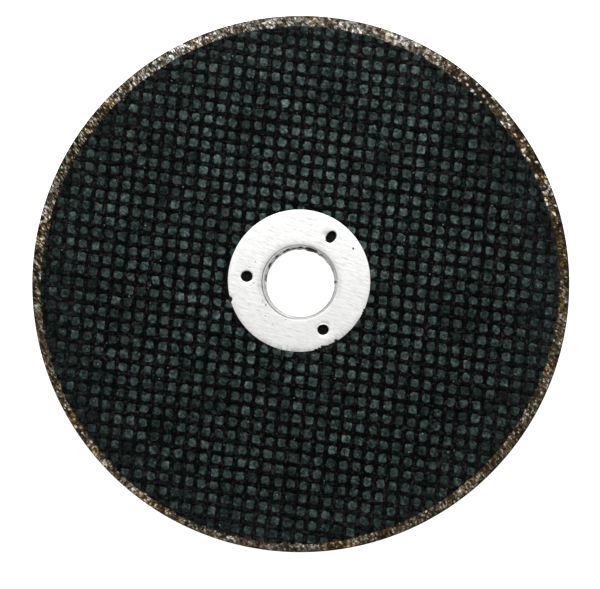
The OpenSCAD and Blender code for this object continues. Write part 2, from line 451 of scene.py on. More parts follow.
def grit_colour(x, y, z, fresh_and_lit, loose=0.0):
    """Colour of the broken grain: pale crystals in a brown bond, more of them where the face is freshly dressed and,
    as a painted highlight, where it faces the light, and apart from each other in dark bond where it is loose."""
    qx, qy = x + 1.1 * z, y - 0.93 * z
    wx = qx + 0.30 * fbm(qx / 0.8, qy / 0.8 + 9, SEED + 25, 2)
    wy = qy + 0.30 * fbm(qx / 0.8 + 5, qy / 0.8, SEED + 26, 2)
    f1, f2, own = worley(wx / 1.15, wy / 1.15, SEED + 21)
    g1, g2, mine = worley(wx / 0.55, wy / 0.55, SEED + 23)
    a = math.radians(-46)
    streak = vnoise((wx * math.cos(a) + wy * math.sin(a)) / 1.15, (wy * math.cos(a) - wx * math.sin(a)) / 0.36, SEED + 27)
    bold = 1 + 0.55 * smooth(0.80, 0.98, (x * math.cos(math.radians(158)) + y * math.sin(math.radians(158))) / np.hypot(x, y))
    patch = fbm(qx / 5.5, qy / 5.5, SEED + 28, 3)
    pale = smooth(0.5, 0.75, fresh_and_lit)
    t = 0.50 + (0.10 + 0.27 * pale) * (own - 0.5) + (0.17 + 0.11 * pale + 0.34 * loose) * (mine - 0.5) + (0.26 - 0.06 * pale) * bold * (1 - 0.8 * loose) * np.sign(streak) * abs(streak) ** 0.8
    t = t + 0.42 * (fresh_and_lit - 0.5) + 0.13 * patch
    # Loose grains are longer one way than the other
    b = math.radians(-54)
    h1, _, whose = worley((wx * math.cos(b) + wy * math.sin(b)) / 1.65, (wy * math.cos(b) - wx * math.sin(b)) / 0.92, SEED + 24)
    size = hashed(np.floor(whose * 8192), np.floor(whose * 1024), SEED + 32)
    blob = smooth(0.26 + 0.46 * size, 0.10 + 0.28 * size, h1 + 0.10 * streak)
    sparse = np.clip((loose - 0.6) / 0.3, 0, 1)
    t = t + loose * (0.66 * (0.34 + 0.66 * sparse) * smooth(0.48, 0.90, whose) * blob + 0.42 * (1 - sparse) * smooth(0.72, 0.95, mine) * smooth(0.50, 0.25, g1) + 0.16 * patch + 0.12 * vnoise(wx / 0.7, wy / 0.7, SEED + 34) - 0.06 - 0.11 * sparse)
    t = np.clip(t, 0, 1)
    stops = np.array([0.0, 0.28, 0.46, 0.60, 0.74, 0.88, 1.0])
    palette = np.array([
        (0.005, 0.0038, 0.0022), (0.018, 0.0128, 0.0070), (0.060, 0.0455, 0.0275), (0.142, 0.117, 0.083),
        (0.31, 0.292, 0.259), (0.62, 0.613, 0.59), (0.92, 0.92, 0.90)])
    c = np.stack([np.interp(t, stops, palette[:, k]) for k in range(3)], -1)
    ochre = (smooth(0.12, 0.42, fbm(qx / 7 + 30, qy / 7, SEED + 29, 3)) * (0.60 - 0.25 * pale) + 0.42 * np.minimum(loose, 0.55) - 0.16 * np.maximum(loose - 0.55, 0) + 0.14 * toward(np.arctan2(y, x), 213, 0.85, 0.98))[..., None]
    c = c * (1 - ochre) + ochre * c * np.array([1.15, 0.82, 0.42])
    teal = ((hashed(np.floor(own * 4096), np.floor(own * 512), SEED + 30) > 0.86) * 0.7)[..., None]
    c = c * (1 - teal) + teal * c * np.array([0.66, 0.92, 0.95])
    # Dark bond between the grains
    seam = (1 - smooth(0.02, 0.24, f2 - f1)) * (0.40 + 0.42 * pale)
    crack = (1 - smooth(0.02, 0.20, g2 - g1)) * 0.40
    gap = np.clip(np.maximum(seam, crack), 0, 1)[..., None]
    return c * (1 - gap) + gap * np.array([0.011, 0.0068, 0.0030])


def abrasive_body():
    fine, mid, low = 2304, 1152, 576
    rings = []  # (verts, colour, back, streaked)

    def ring(count, r, z, colour=SKIN, back=0.0, streaked=0.0):
        th = np.arange(count) * 2 * math.pi / count
        r, z = np.broadcast_to(r, th.shape), np.broadcast_to(z, th.shape)
        v = np.stack([r * np.cos(th), r * np.sin(th), z], 1)
        rings.append((v, np.broadcast_to(colour, (count, 3)), np.broadcast_to(back, th.shape), np.broadcast_to(streaked, th.shape)))

    def around(count):
        return np.arange(count) * 2 * math.pi / count

    # Bore, from the back face up: ragged moulding flash, then the wall behind the collar
    th = around(low)
    c, s = np.cos(th), np.sin(th)
    ragged = 0.5 + 0.5 * fbm(c * 9, s * 9, SEED + 31, 4)
    chips = np.clip(fbm(c * 26, s * 26, SEED + 33, 2) - 0.05, 0, 1)
    # Most of the flash was left on the side towards +Y and -X.
    side = smooth(-0.55, 0.55, 0.80 * s - 0.28 * c)
    flash = side * (0.02 + 0.16 * ragged + 0.30 * chips)
    lump = np.exp(-(((th - math.radians(74)) / 0.10) ** 2)) * 0.22
    flash = np.minimum(flash + lump, 0.6)
    red = smooth(0.1, 0.5, fbm(c * 12, s * 12 + 4, SEED + 36, 2))[:, None]
    burnt = (1 - red) * np.array([0.0045, 0.0032, 0.0032]) + red * np.array([0.034, 0.0125, 0.0120])
    bore = [
        (BORE_R + 0.30, 0.0), (BORE_R + 0.14 - 0.35 * flash, 0.02), (BORE_R + 0.09 - 0.80 * flash, 0.10),
        (BORE_R + 0.08 - flash, 0.22), (BORE_R + 0.08 - 0.92 * flash, 0.33 + 0.04 * ragged), (BORE_R + 0.12 - 0.4 * flash, 0.42),
        (BORE_R + RING_T + 0.05, 0.45), (BORE_R + RING_T + 0.05, 1.2), (BORE_R + RING_T + 0.06, 1.58), (BORE_R + 0.85, 2.2), (BORE_R + 1.3, 2.44),
    ]
    for k, (r, z) in enumerate(bore):
        ring(low, r, z, burnt if 0 < k < 6 else SKIN)
    # Face under the ring, with the pits that the pierced holes open on
    for r in np.concatenate([[14.6], np.arange(15.4, 20.4, 0.55), [21.6, 22.8]]):
        z = np.full(low, SEAT_Z - 0.015)
        for centre, a, b, turn in HOLES:
            d = np.hypot(r * c - centre[0], r * s - centre[1])
            pit = smooth(2.3, 1.5, d)
            z = z - pit * (0.75 + 0.12 * vnoise(r * c * 2.2, r * s * 2.2, SEED + 35))
        ring(low, r, z)
    # Face under the net: hidden but for its gaps
    for r in (23.4, 26, 40, 60):
        ring(low, r, SEAT_Z - 0.01)
    film = np.array([0.0135, 0.0150, 0.0147])
    ring(low, 72.0, SEAT_Z + 0.02, film)
    ring(mid, 78.0, SEAT_Z + 0.08, film)
    ring(mid, 82.5, SEAT_Z + 0.10, film)
    # Bare rim: land, rounded bevel, outside wall and back bevel, all broken grain
    th = around(fine)
    c, s = np.cos(th), np.sin(th)
    edge = net_edge(th) + 0.20 * fbm(c * 60, s * 60, SEED + 41, 3) + 0.22 * fbm(c * 14, s * 14, SEED + 43, 2)
    edge = edge - lap(th)
    first = len(rings)
    start = net_edge(th) - 1.75
    # Painted highlight: the side towards +Y, which faces the light, shows the most pale grain.
    lead = np.cos(th - math.radians(96))
    fresh_and_lit = 0.530 + 0.235 * smooth(0.60, 0.97, lead + 0.08 * fbm(c * 9, s * 9, SEED + 44, 2))
    fresh_and_lit = fresh_and_lit - 0.015 * toward(th, 5, 0.2, 0.95) - 0.15 * toward(th, 28, 0.77, 0.97) - 0.03 * toward(th, 31, 0.90, 0.99) - 0.06 * toward(th, 147, 0.70, 0.97)
    fresh_and_lit = fresh_and_lit + 0.12 * toward(th, 216, 0.3, 0.95) - 0.05 * toward(th, 310, 0.4, 0.95) - 0.04 * toward(th, 272, 0.80, 0.98) - 0.03 * toward(th, 122, 0.92, 0.99)
    # Short stretches that the dresser bit into or skipped
    fresh_and_lit = fresh_and_lit + 0.12 * toward(th, 107, 0.96, 0.998) - 0.12 * toward(th, 90, 0.97, 0.998) - 0.34 * toward(th, 150, 0.965, 0.998)
    fresh_and_lit = fresh_and_lit + 0.15 * toward(th, 166, 0.97, 0.998) - 0.25 * toward(th, 182, 0.965, 0.998) + 0.04 * toward(th, 58, 0.94, 0.998)
    fresh_and_lit = fresh_and_lit + 0.09 * toward(th, 240, 0.96, 0.998) + 0.04 * toward(th, 300, 0.96, 0.998)
    # Streaked by the dressing on the side towards -X, loose single grains towards +X and -Y
    streaky = 0.30 + 0.75 * smooth(-0.45, 0.30, np.cos(th - math.radians(170))) + 0.45 * smooth(0.70, 0.97, np.cos(th - math.radians(132))) - 0.50 * smooth(0.75, 0.97, np.cos(th - math.radians(228)))
    loose = 0.95 * smooth(0.80, 0.97, np.cos(th - math.radians(33))) + 0.55 * smooth(0.30, 0.85, np.cos(th - math.radians(322))) * smooth(0.97, 0.80, np.cos(th - math.radians(33))) + 0.45 * smooth(0.72, 0.95, np.cos(th - math.radians(228)))
    n_front = 19
    for k in range(n_front):
        v = k / (n_front - 1)
        r = start + (WHEEL_R - 0.04 - start) * v**0.92
        x, y = r * c, r * s
        chip = worley(x / 0.9, y / 0.9, SEED + 46)[2] - 0.5
        bare = smooth(-0.36, 0.28, r - edge - (0.50 - 0.24 * np.minimum(streaky, 1)) * chip)
        rise = smooth(-0.95, 0.05, r - edge)
        top = SEAT_Z + 0.06 + (bevel_z(r) - SEAT_Z - 0.06) * rise
        deep = grit_relief(x, y, np.zeros_like(x))
        z = top - 0.03 - bare * 0.26 * deep - (1 - bare) * 0.07 * deep
        # Painted shade: the outermost rim darkened to dark brown, most towards 300 degrees
        painted_shade = smooth(WHEEL_R - 0.9, WHEEL_R - 0.1, r) * (0.25 + 0.42 * smooth(-0.1, 0.8, np.cos(th - math.radians(300))))
        colour = grit_colour(x, y, np.zeros_like(x), fresh_and_lit - 0.35 * smooth(0.5, -0.3, r - edge), loose)
        colour = colour * (1 - painted_shade)[:, None] + painted_shade[:, None] * np.array([0.020, 0.0115, 0.0050])
        ring(fine, r, z, colour * bare[:, None] + skin_colour(x, y) * (1 - bare)[:, None], 0.0, streaky * bare)
    wall = np.linspace(LAND_Z - BEVEL_H - 0.05, BACK_H + 0.03, 5)
    for z in wall:
        zz = np.full_like(th, z)
        deep = grit_relief(WHEEL_R * c, WHEEL_R * s, zz)
        ring(fine, WHEEL_R - 0.01 - 0.13 * deep, z, grit_colour(WHEEL_R * c, WHEEL_R * s, zz, 0.25))
    for k in range(1, 6):
        v = k / 5
        r = WHEEL_R - BACK_W * v
        deep = grit_relief(r * c + 40, r * s, np.zeros_like(th))
        z = BACK_H * (1 - v) + 0.10 * deep * (1 - 0.6 * v) + 0.02
        cover = 0.9 * smooth(0.7, 1.0, v + 0.12 * fbm(c * 50, s * 50, SEED + 45, 2))
        ring(fine, r, z, grit_colour(r * c + 40, r * s, np.zeros_like(th), 0.3), cover)
    last = len(rings) - 1
    # Back face: flat, as pressed, with slight hollows
    ring(mid, 86.2, 0.02, SKIN, 1.0)
    t2 = around(low)
    for r in (84.5, 80, 74, 67, 60, 53, 46, 39, 32, 26, 20, 15.5, 12.6):
        x, y = r * np.cos(t2), r * np.sin(t2)
        ring(low, r, 0.012 + 0.012 * fbm(x / 6, y / 6, SEED + 47, 3), SKIN, 1.0)

    verts = np.concatenate([r[0] for r in rings])
    colour = np.concatenate([r[1] for r in rings])
    back = np.concatenate([r[2] for r in rings])
    streaked = np.concatenate([r[3] for r in rings])
    start_at = np.cumsum([0] + [len(r[0]) for r in rings])
    faces, flat = [], []

    def join(a, b, facet):
        na, nb = len(rings[a][0]), len(rings[b][0])
        oa, ob = start_at[a], start_at[b]
        if na == nb:
            i = np.arange(na)
            j = (i + 1) % na
            q = np.stack([ob + i, ob + j, oa + j, oa + i], 1)
            faces.extend(q.tolist())
            flat.extend([facet] * na)
        elif nb == 2 * na:
            for i in range(na):
                j = (i + 1) % na
                f0, f1, f2 = ob + 2 * i, ob + 2 * i + 1, ob + (2 * i + 2) % nb
                faces.extend([(oa + i, f0, f1), (oa + i, f1, oa + j), (oa + j, f1, f2)])
                flat.extend([facet] * 3)
        else:
            for i in range(nb):
                j = (i + 1) % nb
                f0, f1, f2 = oa + 2 * i, oa + 2 * i + 1, oa + (2 * i + 2) % na
                faces.extend([(ob + i, f1, f0), (ob + i, ob + j, f1), (ob + j, f2, f1)])
                flat.extend([facet] * 3)

    for k in range(len(rings)):
        n = (k + 1) % len(rings)
        join(k, n, first <= k < last)
    return make_mesh("abrasive_body", verts, faces, GRIT_MAT, flat, {"grain_rgb": colour, "back": back, "streaked": streaked})


# ------------------------------------------------------------------ pads of abrasive in the net's openings
# Broad places where the pads are a little paler or duller: X, Y, reach across and up, and by how much
PAD_PLACES = (
    (-8, 50, 26, 9, 0.21), (-7, 82, 13, 7, -0.36), (31, -29, 15, 16, -0.19), (-54, -63, 13, 12, 0.36),
    (16, -82, 12, 9, 0.40), (-15, -25, 10, 9, 0.28), (-17, 24, 9, 8, 0.14), (-77, -34, 9, 12, 0.26),
)


def abrasive_pads():
    n = 7
    g = np.linspace(-1, 1, n)
    S0, T0 = np.meshgrid(g, g, indexing="ij")
    S0, T0 = S0.ravel(), T0.ravel()
    m = np.maximum(abs(S0), abs(T0))
    grid = np.arange(n * n).reshape(n, n)
    quads = np.stack([grid[:-1, :-1], grid[1:, :-1], grid[1:, 1:], grid[:-1, 1:]], -1).reshape(-1, 4)
    loop = np.concatenate([grid[:-1, 0], grid[-1, :-1], grid[1:, -1][::-1], grid[0, 1:][::-1]])
    nl = len(loop)
    rng = np.random.default_rng(SEED)
    verts, faces, tone, rim, scuff, red, wet = [], [], [], [], [], [], []
    base = 0
    reach = 24
    for i in range(-reach, reach + 1):
        for j in range(-reach, reach + 1):
            r_round, r_h, r_w, r_l, r_dull, r_cut, r_scuff, r_red, r_dish, r_side = rng.random(10)
            tilt, r_tone, spin = rng.normal(0, 0.018, 2), rng.normal(), rng.normal(0, 0.05)
            nudge = rng.normal(0, 0.05, 2)
            c = PHASE + i * STEP_I + j * STEP_J
            out = math.hypot(*(c - NET_C))
            ring = math.hypot(*(c - RING_C))
            if out > NET_R + 0.3 or ring < RING_R - 0.4:
                continue
            to_edge = NET_R - out
            patch = float(fbm(c[0] / 13.0, c[1] / 13.0, SEED + 55, 2))
            flooded = float(smooth(6.5, -0.5, to_edge)) * (0.2 + 0.8 * r_h)
            # Corners more or less round, and one of them often filled with resin
            p = 3.4 + 3.4 * r_round
            k = np.where(m > 0, m / np.maximum((abs(S0) ** p + abs(T0) ** p) ** (1 / p), 1e-9), 0)
            S, T = S0 * k, T0 * k
            corner = (1, 1) if r_cut < 0.25 else (1, -1) if r_cut < 0.5 else (-1, 1) if r_cut < 0.75 else (-1, -1)
            cut = (r_cut * 4 % 1) ** 2 * 0.32
            shrink = 1 - cut * np.clip((S * corner[0] + T * corner[1]) - 0.75, 0, 1)
            hx = 1.585 - 0.05 * out / NET_R + 0.10 * (r_w - 0.5) * 2 - 0.05 * flooded
            hy = 1.595 - 0.05 * out / NET_R + 0.10 * (r_l - 0.5) * 2 - 0.05 * flooded
            top = 2.955 - 0.05 * r_h - 0.14 * flooded
            wob = shrink * (1 + 0.07 * vnoise(S * 1.3 + i * 7.3, T * 1.3 + j * 5.1, SEED + 51))
            S, T = S * math.cos(spin) - T * math.sin(spin), S * math.sin(spin) + T * math.cos(spin)
            x = c[0] + nudge[0] + (S * hx * ALONG_V[0] + T * hy * ALONG_U[0]) * wob
            y = c[1] + nudge[1] + (S * hx * ALONG_V[1] + T * hy * ALONG_U[1]) * wob
            z = top + tilt[0] * S + tilt[1] * T - 0.035 * r_dish * (1 - m**2) - 0.075 * m**6
            z = z + 0.022 * fbm(x / 0.8, y / 0.8, SEED + 53, 2)
            z = np.minimum(z, 2.995)
            bx = c[0] + nudge[0] + (x[loop] - c[0] - nudge[0]) * 1.05
            by = c[1] + nudge[1] + (y[loop] - c[1] - nudge[1]) * 1.05
            px, py = np.concatenate([x, bx]), np.concatenate([y, by])
            pz = np.concatenate([z, np.full(nl, SEAT_Z - 0.06)])
            xy = np.stack([px, py], 1)
            xy = xy + wander(xy)
            # Cut back to the ring's outline and to the net's edge
            d = xy - RING_C
            dist = np.hypot(d[:, 0], d[:, 1])
            lim = RING_R + 0.05
            xy = np.where((dist < lim)[:, None], RING_C + d * (lim / dist)[:, None], xy)
            d = xy - NET_C
            dist = np.hypot(d[:, 0], d[:, 1])
            lim = net_limit(d)
            xy = np.where((dist > lim)[:, None], NET_C + d * (lim / dist)[:, None], xy)
            verts.append(np.column_stack([xy, pz]))
            faces.extend((quads + base).tolist())
            for q in range(nl):
                w = (q + 1) % nl
                faces.append((base + loop[q], base + n * n + q, base + n * n + w, base + loop[w]))
            faces.append([base + n * n + q for q in range(nl)][::-1])
            u, w = c / NET_R
            # Painted light: pads paler towards the middle and towards +Y, as under a light close above
            painted_light_pool = 1.42 - 0.42 * out / NET_R + 0.13 * w + 0.07 * u - 0.34 * u * u
            t = painted_light_pool * math.exp(0.165 * r_tone + 0.22 * patch) * (1 - 0.16 * flooded) * (1 - 0.32 * float(smooth(2.2, 0.6, to_edge)))
            # Here and there a few together are smeared over with resin
            t *= 1 - 0.42 * float(smooth(-0.28, -0.55, fbm(c[0] / 9.0 + 4, c[1] / 9.0, SEED + 56, 2)))
            t *= 1 - 0.45 * math.exp(-(((c[0] - 62.5) / 7.5) ** 2) - ((c[1] - 42.0) / 9.0) ** 2)
            t *= 1 + sum(g * math.exp(-(((c[0] - x0) / rx) ** 2) - ((c[1] - y0) / ry) ** 2) for x0, y0, rx, ry, g in PAD_PLACES)
            if r_dull < 0.05:
                t *= 0.5
            # A little paler towards its own edge than in the middle, and on one side
            lean = 0.28 * (S0 * math.cos(6.28 * r_side) + T0 * math.sin(6.28 * r_side))
            hollow = r_dish * (0.55 + 0.75 * out / NET_R)
            tone.append(np.concatenate([t * (1 - 0.36 * hollow + (0.12 + 0.52 * hollow) * m**2 + lean), np.full(nl, t)]))
            rim.append(np.concatenate([m + 0.10 * flooded, np.full(nl, 1.4)]))
            scuff.append(np.full(n * n + nl, 0.15 + 0.75 * r_scuff))
            red.append(np.full(n * n + nl, 0.6 if r_red > 0.93 else 0.22 * r_red))
            wet.append(np.full(n * n + nl, film_at(c[0], c[1])))
            base += n * n + nl
    v = np.concatenate(verts)
    uv = v[:, :2] / 180.0 + 0.5
    ob = make_mesh(
        "abrasive_pads", v, faces, PAD_MAT, None,
        {"pad_tone": np.concatenate(tone), "pad_edge": np.concatenate(rim), "pad_scuff": np.concatenate(scuff), "pad_red": np.concatenate(red), "pad_film": np.concatenate(wet)}, uv,
    )
    return ob


# ------------------------------------------------------------------ woven net
def threads(name, family):
    """One set of flat threads that weave over and under the other set."""
    along, step = (ALONG_U, STEP_I) if family == "u" else (ALONG_V, STEP_J)
    cell = LEN_J if family == "u" else LEN_I
    sign = 1.0 if family == "u" else -1.0
    side = np.array([-along[1], along[0]])
    sec = np.array([(-1, 0.0), (-0.66, 0.62), (-0.22, 0.98), (0.22, 0.98), (0.66, 0.62), (1, 0.0), (0.5, -0.8), (-0.5, -0.8)])
    ns = len(sec)
    rng = np.random.default_rng(SEED + (7 if family == "u" else 8))
    verts, faces = [], []
    base = 0
    for k in range(-24, 25):
        trims = rng.uniform(0.0, 0.55, 4)
        width = 0.83 + rng.uniform(-0.05, 0.05)
        p0 = PHASE + (k + 0.5) * step
        off = p0 - NET_C
        across = off @ side
        if abs(across) > NET_R - 1.5:
            continue
        half = math.sqrt(NET_R**2 - across**2)
        mid = -(off @ along)
        spans = [(mid - half + trims[0], mid + half - trims[1])]
        roff = p0 - RING_C
        racross = roff @ side
        lim = RING_R + 0.06
        if abs(racross) < lim:
            h = math.sqrt(lim**2 - racross**2)
            rm = -(roff @ along)
            spans = [(spans[0][0], rm - h), (rm + h, spans[0][1])]
        for a, b in spans:
            if b - a < 1.0:
                continue
            cnt = max(3, int(math.ceil((b - a) / (cell / 6))) + 1)
            tt = np.linspace(a, b, cnt)
            centre = p0 + tt[:, None] * along
            wave = sign * (-1.0) ** k * np.cos(math.pi * (tt / cell - 0.5))
            zc = 2.795 + 0.085 * wave
            wid = width * (1 + 0.07 * vnoise(tt / 3.1, np.full(cnt, k * 3.7), SEED + 61) - 0.05 * wave)
            thick = 0.105 * (1 + 0.12 * vnoise(tt / 2.3, np.full(cnt, k * 2.9), SEED + 62))
            pts = centre[:, None, :] + (sec[None, :, 0] * wid[:, None])[..., None] * side
            z = zc[:, None] + sec[None, :, 1] * thick[:, None]
            pts = pts + wander(pts)
            # Ends lie along the ring's outline and the net's cut edge
            d = pts - RING_C
            dist = np.hypot(d[..., 0], d[..., 1])
            lo = RING_R + 0.04
            pts = np.where((dist < lo)[..., None], RING_C + d * (lo / dist)[..., None], pts)
            d = pts - NET_C
            dist = np.hypot(d[..., 0], d[..., 1])
            hi = net_limit(d)
            pts = np.where((dist > hi)[..., None], NET_C + d * (hi / dist)[..., None], pts)
            z = np.clip(z + 0.012 * fbm(pts[..., 0] / 0.7, pts[..., 1] / 0.7, SEED + 63, 2), SEAT_Z + 0.004, 2.985)
            v = np.concatenate([pts, z[..., None]], -1).reshape(-1, 3)
            verts.append(v)
            for q in range(cnt - 1):
                o = base + q * ns
                for e in range(ns):
                    f = (e + 1) % ns
                    faces.append((o + e, o + ns + e, o + ns + f, o + f))
            faces.append([base + e for e in range(ns)])
            faces.append([base + (cnt - 1) * ns + e for e in range(ns)][::-1])
            base += cnt * ns
    v = np.concatenate(verts)
    return make_mesh(name, v, faces, THREAD_MAT, None, {"film": film_at(v[:, 0], v[:, 1])}, v[:, :2] / 180.0 + 0.5)


# ------------------------------------------------------------------ stamped centre ring
def edge_loss(theta):
    """How much of the flange's edge is broken away or lapped by resin in a direction, in degrees from X."""
    a = (np.degrees(theta) + 360) % 360
    loss = 0.03 * (0.5 + 0.5 * fbm(np.cos(theta) * 22, np.sin(theta) * 22, SEED + 71, 3))

    def near(at, wide):
        return np.clip(1 - abs((a - at + 180) % 360 - 180) / wide, 0, 1)

    loss = loss + 0.74 * smooth(0, 0.6, near(194.9, 2.7)) * (0.75 + 0.25 * vnoise(a * 1.3, a * 0, SEED + 72))
    jag = smooth(0.0, 0.12, near(292.5, 10.5))
    teeth = 1 - ((a / 3.1 + 0.22 * vnoise(a * 0.5, a * 0 + 3, SEED + 73)) % 1)
    loss = loss + jag * (0.08 + 0.50 * teeth * (0.7 + 0.6 * vnoise(a * 0.3, a * 0 + 9, SEED + 74))) + 0.50 * smooth(0, 0.5, near(301.6, 1.7)) + 0.45 * smooth(0, 0.5, near(290.2, 2.2))
    loss = loss + 0.35 * smooth(0, 0.8, near(335.6, 1.0)) + 0.25 * smooth(0, 0.8, near(333.4, 0.8))
    return loss


def ring_profile():
    """Section of the dish, bend and collar: top side from the flange inwards and down, then back up the hidden side."""
    dish_r, lip_r = BORE_R + 3.3, BORE_R + 1.3
    dip = math.atan(2 * DISH_H / (dish_r - lip_r))
    bend = (lip_r - BORE_R) / (1 - math.sin(dip))
    cr = BORE_R + bend
    cz = RING_TOP - DISH_H - bend * math.cos(dip)
    top, under = [], []
    for i in range(19):
        t = i / 18
        top.append((dish_r - t * (dish_r - lip_r), RING_TOP - DISH_H * t * t))
    for i in range(1, 25):
        a = dip + (math.pi / 2 - dip) * i / 24
        top.append((cr - bend * math.sin(a), cz + bend * math.cos(a)))
    for z in (1.3, 1.0, 0.75, COLLAR_Z + 0.08):
        top.append((BORE_R, z))
    top.append((BORE_R + 0.05, COLLAR_Z + 0.01))
    under.append((BORE_R + 0.25, COLLAR_Z))
    under.append((BORE_R + 0.46, COLLAR_Z + 0.02))
    for i in range(10, -1, -1):
        a = dip + (math.pi / 2 - dip) * i / 10
        under.append((cr - (bend - RING_T) * math.sin(a), cz + (bend - RING_T) * math.cos(a)))
    for i in range(4, -1, -1):
        t = i / 4
        under.append((dish_r - t * (dish_r - lip_r), SEAT_Z - DISH_H * t * t))
    return top, under


def centre_ring():
    verts, faces, stain_and_shade = [], [], []

    def add(points, marks=0.0):
        at = len(verts)
        verts.extend([tuple(map(float, q)) for q in points])
        stain_and_shade.extend(np.broadcast_to(marks, (len(points),)).tolist())
        return list(range(at, at + len(points)))

    def bridge(a, b):
        """Faces between two loops of equal count, a outside or above b for faces that look out."""
        n = len(a)
        for i in range(n):
            j = (i + 1) % n
            faces.append((a[i], a[j], b[j], b[i]))

    n_out, n_in, n_hole = 900, 480, 56
    to, ti = np.arange(n_out) * 2 * math.pi / n_out, np.arange(n_in) * 2 * math.pi / n_in

    def flange_z(x, y):
        """Slight hand-press waviness of the sheet, never above its nominal face."""
        return RING_TOP - 0.012 - 0.010 * fbm(np.asarray(x) / 6.0, np.asarray(y) / 6.0, SEED + 75, 2)

    # Outer edge
    R = RING_R - 0.05 - edge_loss(to)
    outer = []
    for inset, z in ((0.12, None), (0.055, 3.075), (0.015, 3.04), (0.0, 2.96), (0.0, 2.66), (0.05, SEAT_Z)):
        x, y = RING_C[0] + (R - inset) * np.cos(to), RING_C[1] + (R - inset) * np.sin(to)
        # Edge darker on the side towards -Y, broken up by noise
        edge_darker_low_side = 0.30 * smooth(-0.55, -0.95, np.sin(to - 0.15)) * smooth(-0.25, 0.35, fbm(np.cos(to) * 40, np.sin(to) * 40, SEED + 79, 2))
        outer.append(add(np.stack([x, y, flange_z(x, y) if z is None else np.full(n_out, z)], 1), edge_darker_low_side))
    for a, b in zip(outer, outer[1:]):
        bridge(b, a)
    # Dish, bend and collar
    top, under = ring_profile()
    inner = []
    for row, (r, z) in enumerate(top + under):
        x, y = r * np.cos(ti), r * np.sin(ti)
        zz, painted_shade = np.full(n_in, z), 0.0
        if row < len(top) and z > 2.0:
            blend = smooth(BORE_R + 1.5, BORE_R + 3.3, np.full(n_in, r))
            # Line pressed where the bend begins, a little off the bore's own circle and out of round, with painted
            # shade in the line and on the bend inside it, most towards -Y
            d = np.hypot(x - LIP_C[0], 1.014 * (y - LIP_C[1]))
            line = np.exp(-(((d - LIP_R) / 0.22) ** 2))
            rough_line = fbm(np.cos(ti) * 6, np.sin(ti) * 6, SEED + 76, 3)
            zz = zz + blend * (flange_z(x, y) - RING_TOP) - 0.05 * line
            low = smooth(0.15, -0.9, np.sin(ti))
            turned_in = smooth(LIP_R + 0.08, LIP_R - 0.12, d) * (0.21 + 0.40 * low) * (1 - 0.35 * toward(ti, 228, 0.80, 0.97)) * (1 - low * smooth(11.56, 11.28, r))
            painted_shade = np.maximum(line * (0.72 + 0.16 * rough_line - 0.18 * np.cos(ti)) , turned_in)
        inner.append(add(np.stack([x, y, zz], 1), painted_shade))
    for a, b in zip(inner, inner[1:]):
        bridge(a, b)
    # Pierced holes with rolled-in mouths and burrs below
    th = np.arange(n_hole) * 2 * math.pi / n_hole
    top_loops, low_loops = [], []
    for k, (centre, a, b, turn) in enumerate(HOLES):
        burr = 1 + 0.05 * fbm(np.cos(th) * 2.2 + k, np.sin(th) * 2.2, SEED + 77, 3)

        def loop_at(grow, z, mark=0.0):
            ex, ey = (a + grow) * burr * np.cos(th), (b + grow) * burr * np.sin(th)
            lift = 0.0
            if k == 2:
                # Metal bent up along the hole's upper side, which is flat
                upper = smooth(0.25, 0.85, np.sin(th))
                lift = upper * (-0.055 if 0.3 < grow < 0.7 else 0.03 if grow > 0.15 else 0.07 if grow > 0.05 and z > -0.5 else 0.0)
                if grow < 0.3:
                    ey = np.minimum(ey, 0.92 * b + grow)
            x = centre[0] + ex * math.cos(turn) - ey * math.sin(turn)
            y = centre[1] + ex * math.sin(turn) + ey * math.cos(turn)
            zz = np.minimum(flange_z(x, y) + z + lift, RING_TOP - 0.002) if z > -0.5 else np.full(n_hole, RING_TOP + z)
            return add(np.stack([x, y, zz], 1), mark)

        # The third value of each row, and of the first tail loop, is painted shade down into the hole's mouth
        rows = [(0.80, 0.0, 0), (0.58, -0.004, 0), (0.38, -0.015, 0), (0.22, -0.045, 0), (0.10, -0.10, 0.0), (0.03, -0.20, 0.35), (0.0, -0.36, 0.9), (-0.03, -0.9, 1.0), (-0.02, -1.18, 1.0)]
        loops = [loop_at(g, z, mk) for g, z, mk in rows]
        tail = [loop_at(0.16, -1.22, 1.0), loop_at(0.33, -1.1, 0.0), loop_at(0.35, -0.52, 0.0)]
        for u, v in zip(loops, loops[1:]):
            bridge(u, v)
        bridge(loops[-1], tail[0])
        bridge(tail[0], tail[1])
        bridge(tail[1], tail[2])
        top_loops.append(loops[0])
        low_loops.append(tail[2])
        for q in tail[2]:
            verts[q] = (verts[q][0], verts[q][1], SEAT_Z)

    def fill(out_loop, in_loop, holes, up, spacing):
        """Triangles of the sheet between its outline, its inner edge and the holes."""
        ids = list(out_loop) + list(in_loop) + [i for h in holes for i in h]
        pts = [Vector(verts[i][:2]) for i in ids]
        edges, at = [], 0
        for lp in [out_loop, in_loop, *holes]:
            n = len(lp)
            edges += [(at + q, at + (q + 1) % n) for q in range(n)]
            at += n
        if spacing:
            rng = np.random.default_rng(SEED + 81)
            for gx in np.arange(-RING_R, RING_R + 1, spacing):
                for gy in np.arange(-RING_R, RING_R + 1, spacing):
                    x, y = gx + RING_C[0] + rng.uniform(-0.3, 0.3) * spacing, gy + RING_C[1] + rng.uniform(-0.3, 0.3) * spacing
                    if math.hypot(x - RING_C[0], y - RING_C[1]) > RING_R - 1.6 or math.hypot(x, y) < BORE_R + 3.7:
                        continue
                    if any(math.hypot(x - h[0][0], y - h[0][1]) < h[1] + 1.7 for h in HOLES):
                        continue
                    ids.append(len(verts))
                    verts.append((x, y, float(flange_z(x, y))))
                    stain_and_shade.append(0.0)
                    pts.append(Vector((x, y)))
        got = geometry.delaunay_2d_cdt(pts, edges, [], 0, 1e-6)
        co, tris, orig = got[0], got[2], got[3]

